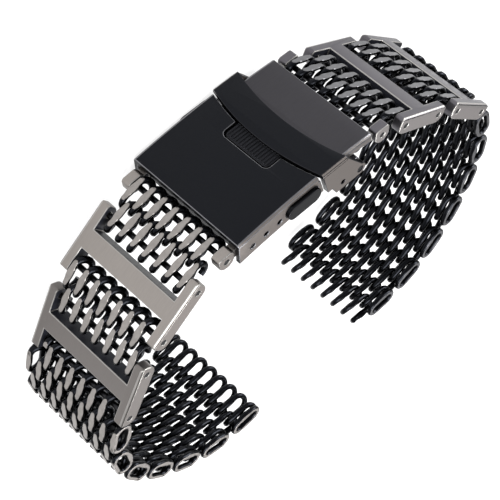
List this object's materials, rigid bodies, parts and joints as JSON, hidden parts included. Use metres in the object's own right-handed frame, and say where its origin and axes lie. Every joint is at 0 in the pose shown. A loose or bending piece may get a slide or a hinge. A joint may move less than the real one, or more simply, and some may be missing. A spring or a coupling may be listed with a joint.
{
  "type": "metal watch bracelet",
  "caption": "Woven steel mesh watch bracelet in two halves with H-shaped links and a fold-over clasp with push buttons and a safety flap.",
  "frame": {"origin": "middle of the bracelet's outline, on the surface it lies on with one edge down", "axes": "+X along the clasp towards its safety flap, +Y away from the wrist at the clasp, +Z across the width, upwards as the bracelet lies on its side"},
  "size_m": [0.0897, 0.0607, 0.025],
  "materials": {
    "clasp_black": "black coated, satin",
    "end_cap_grey": "black coated, satin",
    "blade_steel": "black coated, satin",
    "link_black": "black coated, brushed lengthwise",
    "mesh_wire": "black coated, ground and polished",
    "steel_pins": "turned",
    "button_black": "black coated, polished"
  },
  "bodies": {
    "clasp": {"clasp_cover": "clasp_black", "cover_pin": "steel_pins", "left_spring_bar": "steel_pins"},
    "push_button_near": {"push_button_near": "button_black"},
    "push_button_far": {"push_button_far": "button_black"},
    "blade_1": {"blade_1": "blade_steel"},
    "blade_2": {"blade_2": "end_cap_grey", "blade_pins": "steel_pins", "right_spring_bar": "steel_pins"},
    "safety_flap": {"safety_flap": "clasp_black"},
    "left_end_link": {"left_end_link": "link_black", "left_end_pin": "steel_pins"},
    "left_coil_1": {"left_coil_1": "mesh_wire"},
    "left_coil_2": {"left_coil_2": "mesh_wire"},
    "left_link_1": {"left_link_1": "link_black", "left_link_1_pins": "steel_pins"},
    "left_coil_3": {"left_coil_3": "mesh_wire"},
    "left_coil_4": {"left_coil_4": "mesh_wire"},
    "left_link_2": {"left_link_2": "link_black", "left_link_2_pins": "steel_pins"},
    "left_row_1": {"left_row_1": "mesh_wire"},
    "left_row_2": {"left_row_2": "mesh_wire"},
    "left_row_3": {"left_row_3": "mesh_wire"},
    "left_row_4": {"left_row_4": "mesh_wire"},
    "left_row_5": {"left_row_5": "mesh_wire"},
    "left_row_6": {"left_row_6": "mesh_wire"},
    "left_row_7": {"left_row_7": "mesh_wire"},
    "left_row_8": {"left_row_8": "mesh_wire"},
    "left_row_9": {"left_row_9": "mesh_wire"},
    "left_row_10": {"left_row_10": "mesh_wire"},
    "left_row_11": {"left_row_11": "mesh_wire"},
    "left_row_12": {"left_row_12": "mesh_wire"},
    "left_row_13": {"left_row_13": "mesh_wire"},
    "left_row_14": {"left_row_14": "mesh_wire"},
    "right_end_link": {"right_end_link": "link_black", "right_end_pin": "steel_pins"},
    "right_coil_1": {"right_coil_1": "mesh_wire"},
    "right_coil_2": {"right_coil_2": "mesh_wire"},
    "right_link_1": {"right_link_1": "link_black", "right_link_1_pins": "steel_pins"},
    "right_coil_3": {"right_coil_3": "mesh_wire"},
    "right_coil_4": {"right_coil_4": "mesh_wire"},
    "right_link_2": {"right_link_2": "link_black", "right_link_2_pins": "steel_pins"},
    "right_row_1": {"right_row_1": "mesh_wire"},
    "right_row_2": {"right_row_2": "mesh_wire"},
    "right_row_3": {"right_row_3": "mesh_wire"},
    "right_row_4": {"right_row_4": "mesh_wire"},
    "right_row_5": {"right_row_5": "mesh_wire"},
    "right_row_6": {"right_row_6": "mesh_wire"},
    "right_row_7": {"right_row_7": "mesh_wire"},
    "right_row_8": {"right_row_8": "mesh_wire"},
    "right_row_9": {"right_row_9": "mesh_wire"},
    "right_row_10": {"right_row_10": "mesh_wire"},
    "right_row_11": {"right_row_11": "mesh_wire"},
    "right_row_12": {"right_row_12": "mesh_wire"},
    "right_row_13": {"right_row_13": "mesh_wire"},
    "right_row_14": {"right_row_14": "mesh_wire"},
    "right_row_15": {"right_row_15": "mesh_wire"}
  },
  "joints": [
    {"name": "near_button_press", "type": "slide", "parent": "clasp", "child": "push_button_near", "axis": [0, 0, -1], "range_m": [0, 0.0006], "stiffness_N_per_m": 3000, "springref_m": -0.001},
    {"name": "far_button_press", "type": "slide", "parent": "clasp", "child": "push_button_far", "axis": [0, 0, 1], "range_m": [0, 0.0006], "stiffness_N_per_m": 3000, "springref_m": -0.001},
    {"name": "clasp_fold", "type": "hinge", "parent": "clasp", "child": "blade_1", "pos_m": [-0.00556, 0.02683, 0.0125], "axis": [0, 0, 1], "range_deg": [0, 130]},
    {"name": "blade_fold", "type": "hinge", "parent": "blade_1", "child": "blade_2", "pos_m": [-0.01476, 0.02413, 0.0125], "axis": [0, 0, 1], "range_deg": [-130, 0]},
    {"name": "flap_hinge", "type": "hinge", "parent": "blade_2", "child": "safety_flap", "pos_m": [0.00944, 0.02423, 0.0125], "axis": [0, 0, -1], "range_deg": [0, 70]},
    {"name": "left_end_link_pivot", "type": "hinge", "parent": "clasp", "child": "left_end_link", "pos_m": [-0.01356, 0.02651, 0.0125], "axis": [0, 0, 1], "range_deg": [-5, 6]},
    {"name": "left_coil_1_hinge", "type": "hinge", "parent": "left_end_link", "child": "left_coil_1", "pos_m": [-0.01819, 0.02619, 0.0125], "axis": [0, 0, 1], "range_deg": [-15, 5]},
    {"name": "left_coil_2_hinge", "type": "hinge", "parent": "left_coil_1", "child": "left_coil_2", "pos_m": [-0.02127, 0.02542, 0.0125], "axis": [0, 0, 1], "range_deg": [-8, 4]},
    {"name": "left_link_1_hinge", "type": "hinge", "parent": "left_coil_2", "child": "left_link_1", "pos_m": [-0.02422, 0.02423, 0.0125], "axis": [0, 0, 1], "range_deg": [-19, 5]},
    {"name": "left_coil_3_hinge", "type": "hinge", "parent": "left_link_1", "child": "left_coil_3", "pos_m": [-0.03174, 0.01877, 0.0125], "axis": [0, 0, 1], "range_deg": [-16, 5]},
    {"name": "left_coil_4_hinge", "type": "hinge", "parent": "left_coil_3", "child": "left_coil_4", "pos_m": [-0.03391, 0.01644, 0.0125], "axis": [0, 0, 1], "range_deg": [-9, 4]},
    {"name": "left_link_2_hinge", "type": "hinge", "parent": "left_coil_4", "child": "left_link_2", "pos_m": [-0.03568, 0.01381, 0.0125], "axis": [0, 0, 1], "range_deg": [-10, 5]},
    {"name": "left_row_1_hinge", "type": "hinge", "parent": "left_link_2", "child": "left_row_1", "pos_m": [-0.04019, 0.00568, 0.0125], "axis": [0, 0, 1], "range_deg": [-6, 5]},
    {"name": "left_row_2_hinge", "type": "hinge", "parent": "left_row_1", "child": "left_row_2", "pos_m": [-0.04168, 0.00287, 0.0125], "axis": [0, 0, 1], "range_deg": [-11, 4]},
    {"name": "left_row_3_hinge", "type": "hinge", "parent": "left_row_2", "child": "left_row_3", "pos_m": [-0.04278, -0.00071, 0.0125], "axis": [0, 0, 1], "range_deg": [-11, 4]},
    {"name": "left_row_4_hinge", "type": "hinge", "parent": "left_row_3", "child": "left_row_4", "pos_m": [-0.04317, -0.00444, 0.0125], "axis": [0, 0, 1], "range_deg": [-13, 4]},
    {"name": "left_row_5_hinge", "type": "hinge", "parent": "left_row_4", "child": "left_row_5", "pos_m": [-0.04271, -0.00816, 0.0125], "axis": [0, 0, 1], "range_deg": [-13, 4]},
    {"name": "left_row_6_hinge", "type": "hinge", "parent": "left_row_5", "child": "left_row_6", "pos_m": [-0.04143, -0.01169, 0.0125], "axis": [0, 0, 1], "range_deg": [-9, 4]},
    {"name": "left_row_7_hinge", "type": "hinge", "parent": "left_row_6", "child": "left_row_7", "pos_m": [-0.03961, -0.01497, 0.0125], "axis": [0, 0, 1], "range_deg": [-9, 4]},
    {"name": "left_row_8_hinge", "type": "hinge", "parent": "left_row_7", "child": "left_row_8", "pos_m": [-0.0373, -0.01792, 0.0125], "axis": [0, 0, 1], "range_deg": [-5, 4]},
    {"name": "left_row_9_hinge", "type": "hinge", "parent": "left_row_8", "child": "left_row_9", "pos_m": [-0.03475, -0.02066, 0.0125], "axis": [0, 0, 1], "range_deg": [-5, 4]},
    {"name": "left_row_10_hinge", "type": "hinge", "parent": "left_row_9", "child": "left_row_10", "pos_m": [-0.03196, -0.02317, 0.0125], "axis": [0, 0, 1], "range_deg": [-7, 4]},
    {"name": "left_row_11_hinge", "type": "hinge", "parent": "left_row_10", "child": "left_row_11", "pos_m": [-0.02889, -0.02533, 0.0125], "axis": [0, 0, 1], "range_deg": [-7, 4]},
    {"name": "left_row_12_hinge", "type": "hinge", "parent": "left_row_11", "child": "left_row_12", "pos_m": [-0.02558, -0.02709, 0.0125], "axis": [0, 0, 1], "range_deg": [-13, 4]},
    {"name": "left_row_13_hinge", "type": "hinge", "parent": "left_row_12", "child": "left_row_13", "pos_m": [-0.02195, -0.02806, 0.0125], "axis": [0, 0, 1], "range_deg": [-13, 4]},
    {"name": "left_row_14_hinge", "type": "hinge", "parent": "left_row_13", "child": "left_row_14", "pos_m": [-0.01821, -0.02819, 0.0125], "axis": [0, 0, 1], "range_deg": [-7, 4]},
    {"name": "right_end_link_pivot", "type": "hinge", "parent": "blade_2", "child": "right_end_link", "pos_m": [0.01094, 0.02633, 0.0125], "axis": [0, 0, 1], "range_deg": [-6, 5]},
    {"name": "right_coil_1_hinge", "type": "hinge", "parent": "right_end_link", "child": "right_coil_1", "pos_m": [0.01559, 0.02617, 0.0125], "axis": [0, 0, 1], "range_deg": [-5, 28]},
    {"name": "right_coil_2_hinge", "type": "hinge", "parent": "right_coil_1", "child": "right_coil_2", "pos_m": [0.01847, 0.02483, 0.0125], "axis": [0, 0, 1], "range_deg": [-4, 4]},
    {"name": "right_link_1_hinge", "type": "hinge", "parent": "right_coil_2", "child": "right_link_1", "pos_m": [0.02125, 0.02329, 0.0125], "axis": [0, 0, 1], "range_deg": [-5, 5]},
    {"name": "right_coil_3_hinge", "type": "hinge", "parent": "right_link_1", "child": "right_coil_3", "pos_m": [0.02938, 0.01878, 0.0125], "axis": [0, 0, 1], "range_deg": [-5, 8]},
    {"name": "right_coil_4_hinge", "type": "hinge", "parent": "right_coil_3", "child": "right_coil_4", "pos_m": [0.03207, 0.0171, 0.0125], "axis": [0, 0, 1], "range_deg": [-4, 6]},
    {"name": "right_link_2_hinge", "type": "hinge", "parent": "right_coil_4", "child": "right_link_2", "pos_m": [0.03458, 0.01514, 0.0125], "axis": [0, 0, 1], "range_deg": [-5, 10]},
    {"name": "right_row_1_hinge", "type": "hinge", "parent": "right_link_2", "child": "right_row_1", "pos_m": [0.04138, 0.0088, 0.0125], "axis": [0, 0, 1], "range_deg": [-5, 32]},
    {"name": "right_row_2_hinge", "type": "hinge", "parent": "right_row_1", "child": "right_row_2", "pos_m": [0.04246, 0.00582, 0.0125], "axis": [0, 0, 1], "range_deg": [-4, 10]},
    {"name": "right_row_3_hinge", "type": "hinge", "parent": "right_row_2", "child": "right_row_3", "pos_m": [0.04311, 0.00212, 0.0125], "axis": [0, 0, 1], "range_deg": [-4, 10]},
    {"name": "right_row_4_hinge", "type": "hinge", "parent": "right_row_3", "child": "right_row_4", "pos_m": [0.04311, -0.00163, 0.0125], "axis": [0, 0, 1], "range_deg": [-4, 8]},
    {"name": "right_row_5_hinge", "type": "hinge", "parent": "right_row_4", "child": "right_row_5", "pos_m": [0.04259, -0.00534, 0.0125], "axis": [0, 0, 1], "range_deg": [-4, 8]},
    {"name": "right_row_6_hinge", "type": "hinge", "parent": "right_row_5", "child": "right_row_6", "pos_m": [0.04156, -0.00895, 0.0125], "axis": [0, 0, 1], "range_deg": [-4, 6]},
    {"name": "right_row_7_hinge", "type": "hinge", "parent": "right_row_6", "child": "right_row_7", "pos_m": [0.04015, -0.01242, 0.0125], "axis": [0, 0, 1], "range_deg": [-4, 6]},
    {"name": "right_row_8_hinge", "type": "hinge", "parent": "right_row_7", "child": "right_row_8", "pos_m": [0.03839, -0.01573, 0.0125], "axis": [0, 0, 1], "range_deg": [-4, 6]},
    {"name": "right_row_9_hinge", "type": "hinge", "parent": "right_row_8", "child": "right_row_9", "pos_m": [0.0363, -0.01884, 0.0125], "axis": [0, 0, 1], "range_deg": [-4, 6]},
    {"name": "right_row_10_hinge", "type": "hinge", "parent": "right_row_9", "child": "right_row_10", "pos_m": [0.03389, -0.02171, 0.0125], "axis": [0, 0, 1], "range_deg": [-4, 9]},
    {"name": "right_row_11_hinge", "type": "hinge", "parent": "right_row_10", "child": "right_row_11", "pos_m": [0.03106, -0.02418, 0.0125], "axis": [0, 0, 1], "range_deg": [-4, 9]},
    {"name": "right_row_12_hinge", "type": "hinge", "parent": "right_row_11", "child": "right_row_12", "pos_m": [0.02788, -0.02616, 0.0125], "axis": [0, 0, 1], "range_deg": [-4, 10]},
    {"name": "right_row_13_hinge", "type": "hinge", "parent": "right_row_12", "child": "right_row_13", "pos_m": [0.0244, -0.02757, 0.0125], "axis": [0, 0, 1], "range_deg": [-4, 10]},
    {"name": "right_row_14_hinge", "type": "hinge", "parent": "right_row_13", "child": "right_row_14", "pos_m": [0.02073, -0.02835, 0.0125], "axis": [0, 0, 1], "range_deg": [-4, 9.5]},
    {"name": "right_row_15_hinge", "type": "hinge", "parent": "right_row_14", "child": "right_row_15", "pos_m": [0.01698, -0.02851, 0.0125], "axis": [0, 0, 1], "range_deg": [-4, 9.5]}
  ],
  "couplings": [
    {"joint": "blade_fold", "follows": "clasp_fold", "ratio": -1}
  ]
}
